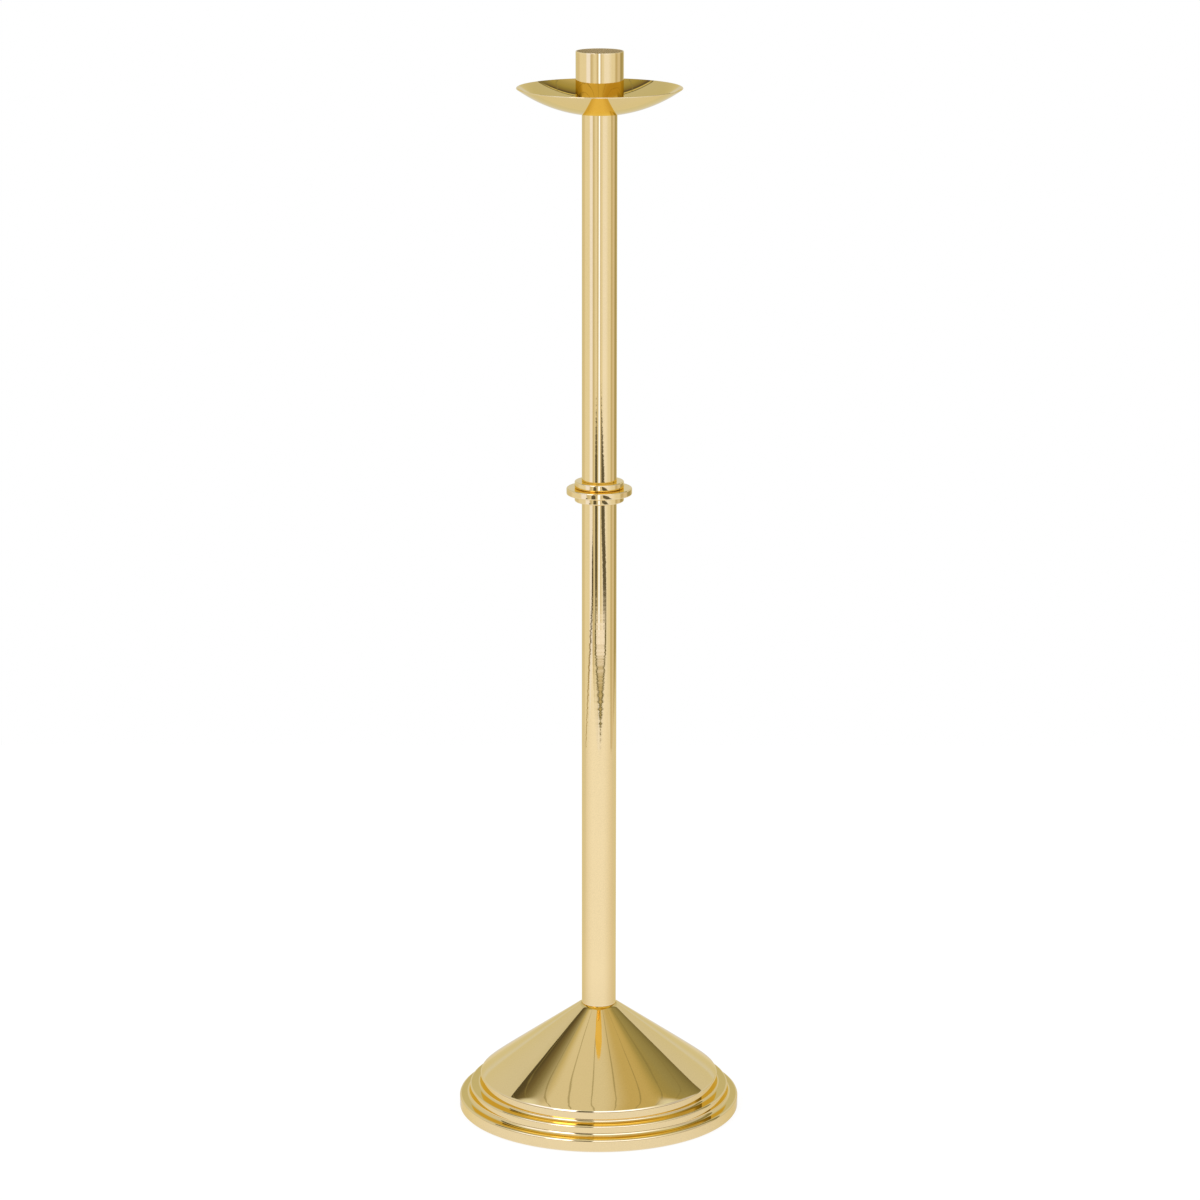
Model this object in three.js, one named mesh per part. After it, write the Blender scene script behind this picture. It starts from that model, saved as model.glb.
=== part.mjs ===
// Paschal candlestick in polished brass: a stepped cone base, a tube stem with a knop of
// three rings, a dished drip pan and a candle cup that screws on top.
// Millimetres, +Z up. The origin is the centre of the felt's underside on the floor.

import * as THREE from "three";

// Facets round the axis
const ROD_FACETS = 24;
const STEM_FACETS = 40;
const WIDE_FACETS = 56;
const EDGE_FACETS = 2;
const CONE_EDGE_FACETS = 3;

// Clearances
const SEAT = 0.05;
const BORE_CLEARANCE = 0.2;
const THREAD_CLEARANCE = 0.1;
const BALLAST_CLEARANCE = 2.0;

// Base: three round steps under a plain cone, spun from sheet
const BASE_WALL = 1.2;
const FELT_THICKNESS = 2.0;
const SHELL_LIFT = 0.8;
const OUTER_STEP_RADIUS = 156.4;
const OUTER_TREAD_WIDTH = 11.6;
const MIDDLE_TREAD_WIDTH = 11.8;
const OUTER_STEP_TOP = 12.5;
const MIDDLE_STEP_RISE = 13.3;
const CONE_EDGE_RISE = 13.2;
const CONE_ANGLE = 35.9;
const SHOULDER_WIDTH = 4.75;
const SHOULDER_ANGLE = 29;
const STEP_EDGE = 0.9;
const STEP_CORNER = 0.8;
const CONE_EDGE = 4.0;
const LIP_WIDTH = 5.5;
const LIP_EDGE = 1.3;

// Base: what it holds inside
const PLATE_THICKNESS = 1.5;
const PLATE_COVER = 2.0;
const BALLAST_POCKET_MARGIN = 5.0;
const BALLAST_BOSS_WALL = 10.0;
const BALLAST_BOSS_TAPER = 4.0;
const BALLAST_BOSS_HEIGHT = 12.0;
const BALLAST_EDGE = 3.0;

// Tie rod, nuts and washers
const ROD_RADIUS = 4.76;
const ROD_END_CHAMFER = 0.8;
const ROD_PROTRUSION = 2.0;
const ROD_FLOOR_GAP = 2.0;
const NUT_ACROSS_FLATS = 14.3;
const NUT_HEIGHT = 8.3;
const LOCK_NUT_HEIGHT = 5.6;
const WASHER_RADIUS = 19.0;
const WASHER_THICKNESS = 2.0;
const SPRING_WASHER_RADIUS = 8.6;
const SPRING_WASHER_THICKNESS = 2.4;
const SPRING_WASHER_GAP = 1.6;

// Stem tubes and the plugs that centre them on the rod
const TUBE_RADIUS = 19.05;
const TUBE_WALL = 1.25;
const TUBE_EDGE = 0.3;
const LOWER_TUBE_LENGTH = 574.8;
const UPPER_TUBE_LENGTH = 400.6;
const PLUG_LENGTH = 16.0;
const FOOT_SPIGOT_RADIUS = 12.0;
const FOOT_SPIGOT_LENGTH = 4.0;
const HUB_POCKET_CLEARANCE = 0.5;
const HUB_POCKET_GAP = 1.4;

// Knop: a wide ring between two small ones
const SMALL_RING_RADIUS = 26.9;
const SMALL_RING_HEIGHT = 7.5;
const WIDE_RING_RADIUS = 35.8;
const WIDE_RING_HEIGHT = 7.3;
const RING_EDGE = 1.0;

// Drip pan
const PAN_RADIUS = 89.3;
const PAN_DEPTH = 26.4;
const PAN_SEAT_MARGIN = 0.75;
const PAN_WALL = 1.1;

// Candle cup and its threaded hub
const CUP_BORE_RADIUS = 24.6;
const CUP_WALL = 1.15;
const CUP_HEIGHT = 65.0;
const CUP_FLOOR = 3.2;
const CUP_FOOT_EDGE = 1.5;
const CUP_RIM_EDGE = 0.4;
const HUB_RADIUS = 10.0;
const HUB_REACH = 10.0;

// Radii that follow
const middleStepRadius = OUTER_STEP_RADIUS - OUTER_TREAD_WIDTH;
const coneFootRadius = middleStepRadius - MIDDLE_TREAD_WIDTH;
const coneTopRadius = TUBE_RADIUS + SHOULDER_WIDTH;
const tubeBore = TUBE_RADIUS - TUBE_WALL;
const plugRadius = tubeBore - THREAD_CLEARANCE;
const rodHole = ROD_RADIUS + THREAD_CLEARANCE;
const shellHole = FOOT_SPIGOT_RADIUS + BORE_CLEARANCE;
const lipRadius = OUTER_STEP_RADIUS - LIP_WIDTH;
const plateRadius = OUTER_STEP_RADIUS - BASE_WALL - BORE_CLEARANCE * 2;
const feltRadius = lipRadius - BORE_CLEARANCE * 2;
const panHole = HUB_RADIUS + BORE_CLEARANCE;
const cupRadius = CUP_BORE_RADIUS + CUP_WALL;
const hubHole = HUB_RADIUS + SEAT;
const hubPocketRadius = HUB_RADIUS + HUB_POCKET_CLEARANCE;
const panFlatRadius = cupRadius + PAN_SEAT_MARGIN;
const ballastPocketRadius = WASHER_RADIUS + BALLAST_POCKET_MARGIN;
const plateAccessRadius = ballastPocketRadius - PLATE_COVER;
const bossRadius = ballastPocketRadius + BALLAST_BOSS_WALL;
const bossTopRadius = bossRadius - BALLAST_BOSS_TAPER;

// Heights that follow, from the floor up
const lipTop = SHELL_LIFT + BASE_WALL;
const plateFoot = Math.max(lipTop, FELT_THICKNESS) + SEAT;
const plateTop = plateFoot + PLATE_THICKNESS;
const middleStepTop = OUTER_STEP_TOP + MIDDLE_STEP_RISE;
const coneEdgeHeight = middleStepTop + CONE_EDGE_RISE;
const coneRise = (coneFootRadius - coneTopRadius) * slope(CONE_ANGLE);
const coneTop = coneEdgeHeight + coneRise;
const shellTop = coneTop + SHOULDER_WIDTH * slope(SHOULDER_ANGLE);
const lowerTubeFoot = shellTop + SEAT;
const lowerTubeTop = lowerTubeFoot + LOWER_TUBE_LENGTH;
const lowRingFoot = lowerTubeTop + SEAT;
const wideRingFoot = lowRingFoot + SMALL_RING_HEIGHT + SEAT;
const highRingFoot = wideRingFoot + WIDE_RING_HEIGHT + SEAT;
const upperTubeFoot = highRingFoot + SMALL_RING_HEIGHT + SEAT;
const stemTop = upperTubeFoot + UPPER_TUBE_LENGTH;
const panFoot = stemTop + SEAT;
const cupFoot = panFoot + PAN_WALL + SEAT;
const cupFloorTop = cupFoot + CUP_FLOOR;
const rodTop = cupFloorTop - ROD_FLOOR_GAP;
const ballastFoot = plateTop + SEAT;
const ballastTop = middleStepTop - BASE_WALL - SEAT;
const rodFoot = ballastFoot + ROD_FLOOR_GAP;
const baseNutFoot = rodFoot + ROD_PROTRUSION;
const springWasherFoot = baseNutFoot + NUT_HEIGHT + SEAT;
const washerFoot = springWasherFoot + SPRING_WASHER_THICKNESS + SEAT;
const pocketTop = washerFoot + WASHER_THICKNESS + SEAT;
const hubFoot = cupFoot - HUB_REACH;
const lockNutTop = hubFoot - HUB_POCKET_GAP;
const lockNutFoot = lockNutTop - LOCK_NUT_HEIGHT;
const hubPocketFoot = lockNutFoot - SEAT;

// Finishes
const brass = { color: 0xebd5a8, roughness: 0.12, metalness: 1.0 };
const turnedBrass = { color: 0xd8b878, roughness: 0.3, metalness: 1.0 };
const steel = { color: 0xb4b6b8, roughness: 0.4, metalness: 1.0 };
const castIron = { color: 0x3c3c3e, roughness: 0.8, metalness: 0.6 };
const felt = { color: 0x2e4a34, roughness: 1.0, metalness: 0.0 };

const candlestick = new THREE.Group();

function slope(degrees) {
  return Math.tan(THREE.MathUtils.degToRad(degrees));
}

// Replaces one corner of an outline by an arc. A corner is [radius, height, edge, steps],
// where a corner with no edge radius stays sharp.
function roundedCorner(before, corner, after) {
  const here = new THREE.Vector2(corner[0], corner[1]);
  const toBefore = new THREE.Vector2(before[0], before[1]).sub(here);
  const toAfter = new THREE.Vector2(after[0], after[1]).sub(here);
  const room = Math.min(toBefore.length(), toAfter.length()) * 0.45;
  toBefore.normalize();
  toAfter.normalize();
  const opening = Math.acos(THREE.MathUtils.clamp(toBefore.dot(toAfter), -1, 1));
  const wanted = (corner[2] || 0) / Math.tan(opening / 2);
  const tangent = Math.min(wanted, room);
  if (tangent < 1e-6 || Math.PI - opening < 1e-3) {
    return [here];
  }
  const radius = tangent * Math.tan(opening / 2);
  const inward = toBefore.clone().add(toAfter).normalize();
  const centre = here.clone().addScaledVector(inward, radius / Math.sin(opening / 2));
  const start = here.clone().addScaledVector(toBefore, tangent).sub(centre);
  const end = here.clone().addScaledVector(toAfter, tangent).sub(centre);
  const sweep = Math.atan2(start.x * end.y - start.y * end.x, start.dot(end));
  const steps = corner[3] || 1;
  const points = [];
  for (let step = 0; step <= steps; step += 1) {
    points.push(start.clone().rotateAround(new THREE.Vector2(), sweep * step / steps).add(centre));
  }
  return points;
}

// Rounds every corner of an outline that closes on itself.
function roundedOutline(corners) {
  const count = corners.length;
  return corners.flatMap((corner, index) => {
    const before = corners[(index + count - 1) % count];
    const after = corners[(index + 1) % count];
    return roundedCorner(before, corner, after);
  });
}

// Moves an open outline sideways by one wall. The left of its direction is the inside, where
// only an edge wider than the wall stays round.
function offsetOutline(corners, distance) {
  const normals = corners.slice(1).map((corner, index) => {
    const along = new THREE.Vector2(corner[0] - corners[index][0], corner[1] - corners[index][1]);
    along.normalize();
    return new THREE.Vector2(-along.y, along.x);
  });
  return corners.map((corner, index) => {
    const first = normals[Math.max(index - 1, 0)];
    const second = normals[Math.min(index, normals.length - 1)];
    const mitre = first.clone().add(second).multiplyScalar(distance / (1 + first.dot(second)));
    const edge = Math.max((corner[2] || 0) - distance, 0);
    return [corner[0] + mitre.x, corner[1] + mitre.y, edge, corner[3]];
  });
}

function addMesh(name, geometry, finish) {
  const mesh = new THREE.Mesh(geometry, new THREE.MeshStandardMaterial(finish));
  mesh.name = name;
  candlestick.add(mesh);
  return mesh;
}

// Turns an outline round the Z axis. The outline runs anticlockwise, radius to the right.
function addTurned(name, outline, facets, finish) {
  const points = outline.map((point) => point.clone());
  const onAxis = points[0].x < 1e-9 && points[points.length - 1].x < 1e-9;
  if (!onAxis) {
    points.push(points[0].clone());
  }
  const geometry = new THREE.LatheGeometry(points, facets);
  geometry.rotateX(Math.PI / 2);
  return addMesh(name, geometry, finish);
}

// A ring, bush or tube with a square bore and its outer edges rounded in so many steps.
function ringOutline(bore, radius, foot, height, edge, steps) {
  return roundedOutline([
    [bore, foot],
    [radius, foot, edge, steps],
    [radius, foot + height, edge, steps],
    [bore, foot + height],
  ]);
}

function addHexNut(name, foot, height) {
  const cornerRadius = NUT_ACROSS_FLATS / 2 / Math.cos(Math.PI / 6);
  const outline = new THREE.Shape();
  for (let corner = 0; corner < 6; corner += 1) {
    const angle = corner * Math.PI / 3;
    const x = cornerRadius * Math.cos(angle);
    const y = cornerRadius * Math.sin(angle);
    if (corner === 0) {
      outline.moveTo(x, y);
    } else {
      outline.lineTo(x, y);
    }
  }
  outline.closePath();
  const hole = new THREE.Path();
  hole.absarc(0, 0, rodHole, 0, Math.PI * 2, true);
  outline.holes.push(hole);
  const settings = { depth: height, bevelEnabled: false, curveSegments: ROD_FACETS };
  const nut = addMesh(name, new THREE.ExtrudeGeometry(outline, settings), steel);
  nut.position.z = foot;
}

function addSpringWasher(name, foot) {
  const gapAngle = SPRING_WASHER_GAP / SPRING_WASHER_RADIUS;
  const sweep = Math.PI * 2 - gapAngle;
  const outline = new THREE.Shape();
  outline.absarc(0, 0, SPRING_WASHER_RADIUS, 0, sweep, false);
  outline.absarc(0, 0, rodHole, sweep, 0, true);
  outline.closePath();
  const settings = {
    depth: SPRING_WASHER_THICKNESS,
    bevelEnabled: false,
    curveSegments: ROD_FACETS / 2,
  };
  const washer = addMesh(name, new THREE.ExtrudeGeometry(outline, settings), steel);
  washer.position.z = foot;
}

function addBase() {
  const outer = [
    [lipRadius, SHELL_LIFT],
    [OUTER_STEP_RADIUS, SHELL_LIFT, LIP_EDGE, EDGE_FACETS],
    [OUTER_STEP_RADIUS, OUTER_STEP_TOP, STEP_EDGE, EDGE_FACETS],
    [middleStepRadius, OUTER_STEP_TOP, STEP_CORNER],
    [middleStepRadius, middleStepTop, STEP_EDGE, EDGE_FACETS],
    [coneFootRadius, middleStepTop, STEP_CORNER],
    [coneFootRadius, coneEdgeHeight, CONE_EDGE, CONE_EDGE_FACETS],
    [coneTopRadius, coneTop],
    [TUBE_RADIUS, shellTop],
    [shellHole, shellTop],
  ];
  const inner = offsetOutline(outer, BASE_WALL).reverse();
  const skin = roundedOutline([...outer, ...inner]);
  addTurned("base_shell", skin, WIDE_FACETS, brass);

  const plate = ringOutline(plateAccessRadius, plateRadius, plateFoot, PLATE_THICKNESS, 0);
  addTurned("base_plate", plate, WIDE_FACETS, steel);

  const pad = [[0, 0], [feltRadius, 0], [feltRadius, FELT_THICKNESS], [0, FELT_THICKNESS]];
  addTurned("base_felt", pad.map(([r, z]) => new THREE.Vector2(r, z)), WIDE_FACETS, felt);
}

function addBallast() {
  const radius = middleStepRadius - BASE_WALL - BALLAST_CLEARANCE;
  const bossTop = ballastTop + BALLAST_BOSS_HEIGHT;
  const corners = [
    [ballastPocketRadius, ballastFoot],
    [radius, ballastFoot, BALLAST_EDGE],
    [radius, ballastTop, BALLAST_EDGE],
    [bossRadius, ballastTop],
    [bossTopRadius, bossTop, BALLAST_EDGE],
    [rodHole + BORE_CLEARANCE, bossTop],
    [rodHole + BORE_CLEARANCE, pocketTop],
    [ballastPocketRadius, pocketTop],
  ];
  addTurned("base_ballast", roundedOutline(corners), STEM_FACETS, castIron);
}

function addTieRod() {
  const corners = [
    [0, rodFoot],
    [ROD_RADIUS - ROD_END_CHAMFER, rodFoot],
    [ROD_RADIUS, rodFoot + ROD_END_CHAMFER],
    [ROD_RADIUS, rodTop - ROD_END_CHAMFER],
    [ROD_RADIUS - ROD_END_CHAMFER, rodTop],
    [0, rodTop],
  ];
  addTurned("tie_rod", corners.map(([r, z]) => new THREE.Vector2(r, z)), ROD_FACETS, steel);
}

function addFootFasteners() {
  addHexNut("base_nut", baseNutFoot, NUT_HEIGHT);
  addSpringWasher("base_spring_washer", springWasherFoot);
  const washer = ringOutline(rodHole, WASHER_RADIUS, washerFoot, WASHER_THICKNESS, 0);
  addTurned("base_washer", washer, STEM_FACETS, steel);
}

// The plug in the foot of the lower tube, with the spigot that centres it in the base.
function addFootPlug() {
  const corners = [
    [rodHole, lowerTubeFoot - FOOT_SPIGOT_LENGTH],
    [FOOT_SPIGOT_RADIUS, lowerTubeFoot - FOOT_SPIGOT_LENGTH, RING_EDGE],
    [FOOT_SPIGOT_RADIUS, lowerTubeFoot],
    [plugRadius, lowerTubeFoot],
    [plugRadius, lowerTubeFoot + PLUG_LENGTH, RING_EDGE],
    [rodHole, lowerTubeFoot + PLUG_LENGTH],
  ];
  addTurned("lower_foot_plug", roundedOutline(corners), STEM_FACETS, turnedBrass);
}

// The plug in the head of the upper tube, bored out for the lock nut and the cup's hub.
function addHeadPlug() {
  const foot = hubPocketFoot - PLUG_LENGTH / 2;
  const corners = [
    [rodHole, foot],
    [plugRadius, foot, RING_EDGE],
    [plugRadius, stemTop],
    [hubPocketRadius, stemTop],
    [hubPocketRadius, hubPocketFoot],
    [rodHole, hubPocketFoot],
  ];
  addTurned("upper_head_plug", roundedOutline(corners), STEM_FACETS, turnedBrass);
  addHexNut("rod_lock_nut", lockNutFoot, LOCK_NUT_HEIGHT);
}

function addStem() {
  const lower = ringOutline(tubeBore, TUBE_RADIUS, lowerTubeFoot, LOWER_TUBE_LENGTH, TUBE_EDGE);
  addTurned("lower_tube", lower, STEM_FACETS, brass);
  const upper = ringOutline(tubeBore, TUBE_RADIUS, upperTubeFoot, UPPER_TUBE_LENGTH, TUBE_EDGE);
  addTurned("upper_tube", upper, STEM_FACETS, brass);

  const lowerHead = ringOutline(rodHole, plugRadius, lowerTubeTop - PLUG_LENGTH, PLUG_LENGTH, 0);
  addTurned("lower_head_plug", lowerHead, STEM_FACETS, turnedBrass);
  const upperFoot = ringOutline(rodHole, plugRadius, upperTubeFoot, PLUG_LENGTH, 0);
  addTurned("upper_foot_plug", upperFoot, STEM_FACETS, turnedBrass);
}

function addKnop() {
  const rings = [
    ["knop_lower_ring", lowRingFoot, SMALL_RING_RADIUS, SMALL_RING_HEIGHT],
    ["knop_middle_ring", wideRingFoot, WIDE_RING_RADIUS, WIDE_RING_HEIGHT],
    ["knop_upper_ring", highRingFoot, SMALL_RING_RADIUS, SMALL_RING_HEIGHT],
  ];
  for (const [name, foot, radius, height] of rings) {
    const outline = ringOutline(rodHole, radius, foot, height, RING_EDGE, EDGE_FACETS);
    addTurned(name, outline, STEM_FACETS, brass);
  }
}

// The pan is part of a sphere that leaves a flat seat in the middle. The sphere's centre
// height follows from the seat, the rim and the depth.
function addDripPan() {
  const widthTerm = PAN_RADIUS ** 2 - panFlatRadius ** 2 + PAN_DEPTH ** 2;
  const centreRise = widthTerm / (2 * PAN_DEPTH);
  const sphereRadius = Math.hypot(centreRise, panFlatRadius);
  const innerRadius = sphereRadius - PAN_WALL;
  const seatAngle = Math.asin(panFlatRadius / sphereRadius);
  const rimAngle = Math.asin(PAN_RADIUS / sphereRadius);
  const innerSeatAngle = Math.acos((centreRise - PAN_WALL) / innerRadius);
  const centreHeight = panFoot + centreRise;
  const steps = 8;
  const rimSteps = 4;
  const onArc = (radius, angle) => new THREE.Vector2(
    radius * Math.sin(angle),
    centreHeight - radius * Math.cos(angle),
  );
  const outline = [new THREE.Vector2(panHole, panFoot)];
  for (let step = 0; step <= steps; step += 1) {
    outline.push(onArc(sphereRadius, THREE.MathUtils.lerp(seatAngle, rimAngle, step / steps)));
  }
  const rimCentre = onArc((sphereRadius + innerRadius) / 2, rimAngle);
  for (let step = 1; step < rimSteps; step += 1) {
    const turn = rimAngle - Math.PI / 2 + Math.PI * step / rimSteps;
    outline.push(new THREE.Vector2(
      rimCentre.x + PAN_WALL / 2 * Math.cos(turn),
      rimCentre.y + PAN_WALL / 2 * Math.sin(turn),
    ));
  }
  for (let step = steps; step >= 0; step -= 1) {
    outline.push(onArc(innerRadius, THREE.MathUtils.lerp(innerSeatAngle, rimAngle, step / steps)));
  }
  outline.push(new THREE.Vector2(panHole, panFoot + PAN_WALL));
  addTurned("drip_pan", outline, WIDE_FACETS, brass);
}

function addCandleCup() {
  const rim = cupFoot + CUP_HEIGHT;
  const corners = [
    [hubHole, cupFoot],
    [cupRadius, cupFoot, CUP_FOOT_EDGE, EDGE_FACETS],
    [cupRadius, rim, CUP_RIM_EDGE, EDGE_FACETS],
    [CUP_BORE_RADIUS, rim, CUP_RIM_EDGE, EDGE_FACETS],
    [CUP_BORE_RADIUS, cupFloorTop],
    [hubHole, cupFloorTop],
  ];
  addTurned("candle_cup", roundedOutline(corners), STEM_FACETS, brass);

  const hub = ringOutline(rodHole, HUB_RADIUS, hubFoot, HUB_REACH + CUP_FLOOR, 0);
  addTurned("cup_hub", hub, STEM_FACETS, turnedBrass);
}

addBase();
addBallast();
addFootFasteners();
addTieRod();
addFootPlug();
addStem();
addKnop();
addHeadPlug();
addDripPan();
addCandleCup();

export default candlestick;
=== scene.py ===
"""Paschal candlestick in polished brass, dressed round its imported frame.

The brass pieces are turned here in fine mesh on the frame's own sizes, the felt is cut again, and
the hidden rod, nuts, washers, plugs and ballast get their finishes. Lengths are written in
millimetres in the sizes of the classes, and become metres where a mesh is made. Bearings are in
degrees, 0 towards the camera and positive to the right.
"""

import logging
import math
from dataclasses import dataclass, field
from enum import Enum

import bpy
import numpy as np
from mathutils import Euler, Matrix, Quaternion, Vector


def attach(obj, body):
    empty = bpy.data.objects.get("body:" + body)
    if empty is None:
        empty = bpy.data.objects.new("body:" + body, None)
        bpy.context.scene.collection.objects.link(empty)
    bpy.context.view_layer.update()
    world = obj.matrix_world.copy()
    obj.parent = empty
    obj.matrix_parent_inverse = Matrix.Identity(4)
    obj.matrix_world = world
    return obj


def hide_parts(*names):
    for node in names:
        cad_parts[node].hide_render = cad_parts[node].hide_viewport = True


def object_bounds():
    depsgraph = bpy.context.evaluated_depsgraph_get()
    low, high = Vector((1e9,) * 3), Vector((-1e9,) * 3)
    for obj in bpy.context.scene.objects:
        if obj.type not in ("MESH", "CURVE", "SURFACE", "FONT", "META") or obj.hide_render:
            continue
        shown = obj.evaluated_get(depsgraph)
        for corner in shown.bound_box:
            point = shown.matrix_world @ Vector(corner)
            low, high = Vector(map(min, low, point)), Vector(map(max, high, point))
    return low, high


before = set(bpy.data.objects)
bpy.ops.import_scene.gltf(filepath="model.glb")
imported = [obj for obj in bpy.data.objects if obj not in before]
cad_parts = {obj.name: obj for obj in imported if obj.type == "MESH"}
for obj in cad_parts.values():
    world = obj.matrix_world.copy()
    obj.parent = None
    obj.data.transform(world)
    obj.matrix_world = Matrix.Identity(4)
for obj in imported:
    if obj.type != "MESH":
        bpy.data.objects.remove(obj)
CAD_LOW, CAD_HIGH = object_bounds()

MM = 0.001
LOG = logging.getLogger("candlestick")

Colour = tuple[float, float, float]
Place = tuple[float, float]
Span = tuple[float, float]
Socket = bpy.types.NodeSocket
Value = Socket | float | Colour

# A row of tones in order, each tone followed by the places where it stands
Row = tuple[tuple[Colour | float, ...], ...]

# Turning: the angle up to which faces shade as one, and reaches in millimetres
SMOOTH_ANGLE = 32.0
RING_REACH = 0.03
MERGE_REACH = 0.004

# The Mix node's sockets for colours
MIX_SHARE, MIX_FIRST, MIX_SECOND, MIX_RESULT = 0, 6, 7, 2

# Where the brass mirrors brass: the glossy depth past which it does, and its tint
SECOND_MIRROR = 1.5
SECOND_TINT: Colour = (1.0, 0.91, 0.42)

# The spans of the studio's rows, and half the soft edge of a band
BEARINGS: Span = (-180.0, 180.0)
DEPTHS: Span = (0.0, 1.0)
BAND_EDGE = 0.8


class Slot(Enum):
    """The record's slots of the pieces made here, which this script names but doesn't record."""

    POLISHED_BRASS = "polished_brass"
    GREEN_FELT = "green_felt"


class Body(Enum):
    """The bodies of the frame that the pieces made here ride on."""

    STAND = "stand"
    CUP = "cup"


# Shader trees


class NodeBench:
    """Adds nodes to one shader tree and joins them up."""

    def __init__(self, tree: bpy.types.NodeTree) -> None:
        """Empties the tree of a material or of the world."""
        self.tree = tree
        self.tree.nodes.clear()

    def put(self, value: Value, socket: Socket) -> None:
        """Joins an output to a socket, or sets the socket's value.

        Args:
            value: an output socket, a number, or a colour or vector.
            socket: the input that takes it.
        """
        if isinstance(value, Socket):
            self.tree.links.new(value, socket)
        elif socket.type == "RGBA":
            socket.default_value = (*value, 1.0)
        else:
            socket.default_value = value

    def fill(self, node: bpy.types.Node, inputs: dict[object, Value]) -> None:
        """Fills several of a node's inputs, each by its name or its number."""
        for key, value in inputs.items():
            self.put(value, node.inputs[key])

    def node(self, kind: str, inputs: dict[object, Value] | None = None,
             **settings: object) -> bpy.types.Node:
        """Adds one node.

        Args:
            kind: the node's class, without ShaderNode.
            inputs: what its inputs take, by name or number.
            settings: the node's own properties.

        Returns:
            The new node.
        """
        made = self.tree.nodes.new("ShaderNode" + kind)
        for name, value in settings.items():
            setattr(made, name, value)
        self.fill(made, inputs or {})
        return made

    def math(self, operation: str, *values: Value) -> Socket:
        """One Math node: its operation, such as MULTIPLY, and its values in order."""
        return self.node("Math", dict(enumerate(values)), operation=operation).outputs[0]

    def product(self, first: Value, second: Value) -> Socket:
        """The product of two numbers."""
        return self.math("MULTIPLY", first, second)

    def scaled(self, value: Value, gain: float, base: Value) -> Socket:
        """A number times a gain, plus a base."""
        return self.math("MULTIPLY_ADD", value, gain, base)

    def off(self, value: Value, centre: Value) -> Socket:
        """How far a number is from a centre."""
        return self.math("ABSOLUTE", self.math("SUBTRACT", value, centre))

    def step(self, value: Value, start: float, end: float) -> Socket:
        """A smooth step from 0 at start to 1 at end, where end may be the smaller.

        Args:
            value: the number that is stepped.
            start: where the result is 0.
            end: where the result is 1.

        Returns:
            The result's socket.
        """
        rising = float(start <= end)
        made = self.node("MapRange", {
            "Value": value, "From Min": min(start, end), "From Max": max(start, end),
            "To Min": 1.0 - rising, "To Max": rising,
        }, interpolation_type="SMOOTHSTEP")
        return made.outputs["Result"]

    def band(self, value: Value, centre: Value, half: Value) -> Socket:
        """1 up to half the band's width from its centre and 0 beyond, with a soft edge."""
        beyond = self.math("SUBTRACT", self.off(value, centre), half)
        return self.step(beyond, BAND_EDGE, -BAND_EDGE)

    def mix(self, share: Value, first: Value, second: Value, blend: str = "MIX") -> Socket:
        """Mixes two colours, where a share of 0 gives the first and 1 the second."""
        inputs = {MIX_SHARE: share, MIX_FIRST: first, MIX_SECOND: second}
        return self.node("Mix", inputs, data_type="RGBA", blend_type=blend).outputs[MIX_RESULT]

    def noise(self, vector: Value, scale: float, detail: float) -> Socket:
        """A noise between 0 and 1, read at a vector, with its scale and its finer layers."""
        inputs = {"Vector": vector, "Scale": scale, "Detail": detail}
        return self.node("TexNoise", inputs).outputs["Fac"]

    def bump(self, height: Value, depth: float, strength: float,
             under: Socket | None = None) -> Socket:
        """A bump from a height.

        Args:
            height: the height's socket, from 0 to 1.
            depth: how deep it is, in metres.
            strength: the share of it that shows.
            under: a bump that lies under this one.

        Returns:
            The normal's socket.
        """
        made = self.node("Bump", {"Strength": strength, "Distance": depth, "Height": height})
        if under is not None:
            self.put(under, made.inputs["Normal"])
        return made.outputs["Normal"]

    def row(self, value: Value, span: Span, tones: Row) -> Socket:
        """A row of tones along a number.

        Args:
            value: the number.
            span: where the row begins and ends.
            tones: the row.

        Returns:
            The tone's socket.
        """
        low, length = span[0], span[1] - span[0]
        ramp = self.node("ValToRGB", {0: self.scaled(value, 1.0 / length, -low / length)})
        stops = ramp.color_ramp.elements
        stops.remove(stops[-1])
        marks = [((place - low) / length, tone) for tone, *places in tones for place in places]
        for index, (position, tone) in enumerate(marks):
            stop = stops.new(position) if index else stops[0]
            stop.position = position
            stop.color = (*tone, 1.0)
        return ramp.outputs[0]

    def pair(self, first: Value, second: Value) -> Socket:
        """A vector of two numbers."""
        return self.node("CombineXYZ", {0: first, 1: second}).outputs[0]

    def bearing(self, right: Value, away: Value) -> Socket:
        """The bearing of a way, from how far it goes to the right and away from the camera."""
        return self.math("DEGREES", self.math("ARCTAN2", right, self.product(away, -1.0)))

    def rays(self) -> tuple[Socket, Socket]:
        """Tells rays apart.

        Returns:
            1 for a ray from the camera, and 1 for a ray that was mirrored or passed on.
        """
        kinds = self.node("LightPath").outputs
        mirrored = self.math("MAXIMUM", kinds["Is Glossy Ray"], kinds["Is Transmission Ray"])
        return kinds["Is Camera Ray"], mirrored

    def after_two_mirrors(self, tone: Value) -> Socket:
        """Deepens a tone where the brass mirrors it for the second time."""
        depth = self.node("LightPath").outputs["Glossy Depth"]
        return self.mix(self.math("GREATER_THAN", depth, SECOND_MIRROR), tone, SECOND_TINT,
                        "MULTIPLY")

    def around_axis(self) -> tuple[Socket, Socket, Socket]:
        """Object coordinates round the candlestick's axis.

        Returns:
            The object coordinates, the distance from the axis and the height.
        """
        place = self.node("TexCoord").outputs["Object"]
        right, away, height = self.node("SeparateXYZ", {0: place}).outputs
        length = self.node("VectorMath", {0: self.pair(right, away)}, operation="LENGTH")
        return place, length.outputs["Value"], height

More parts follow.
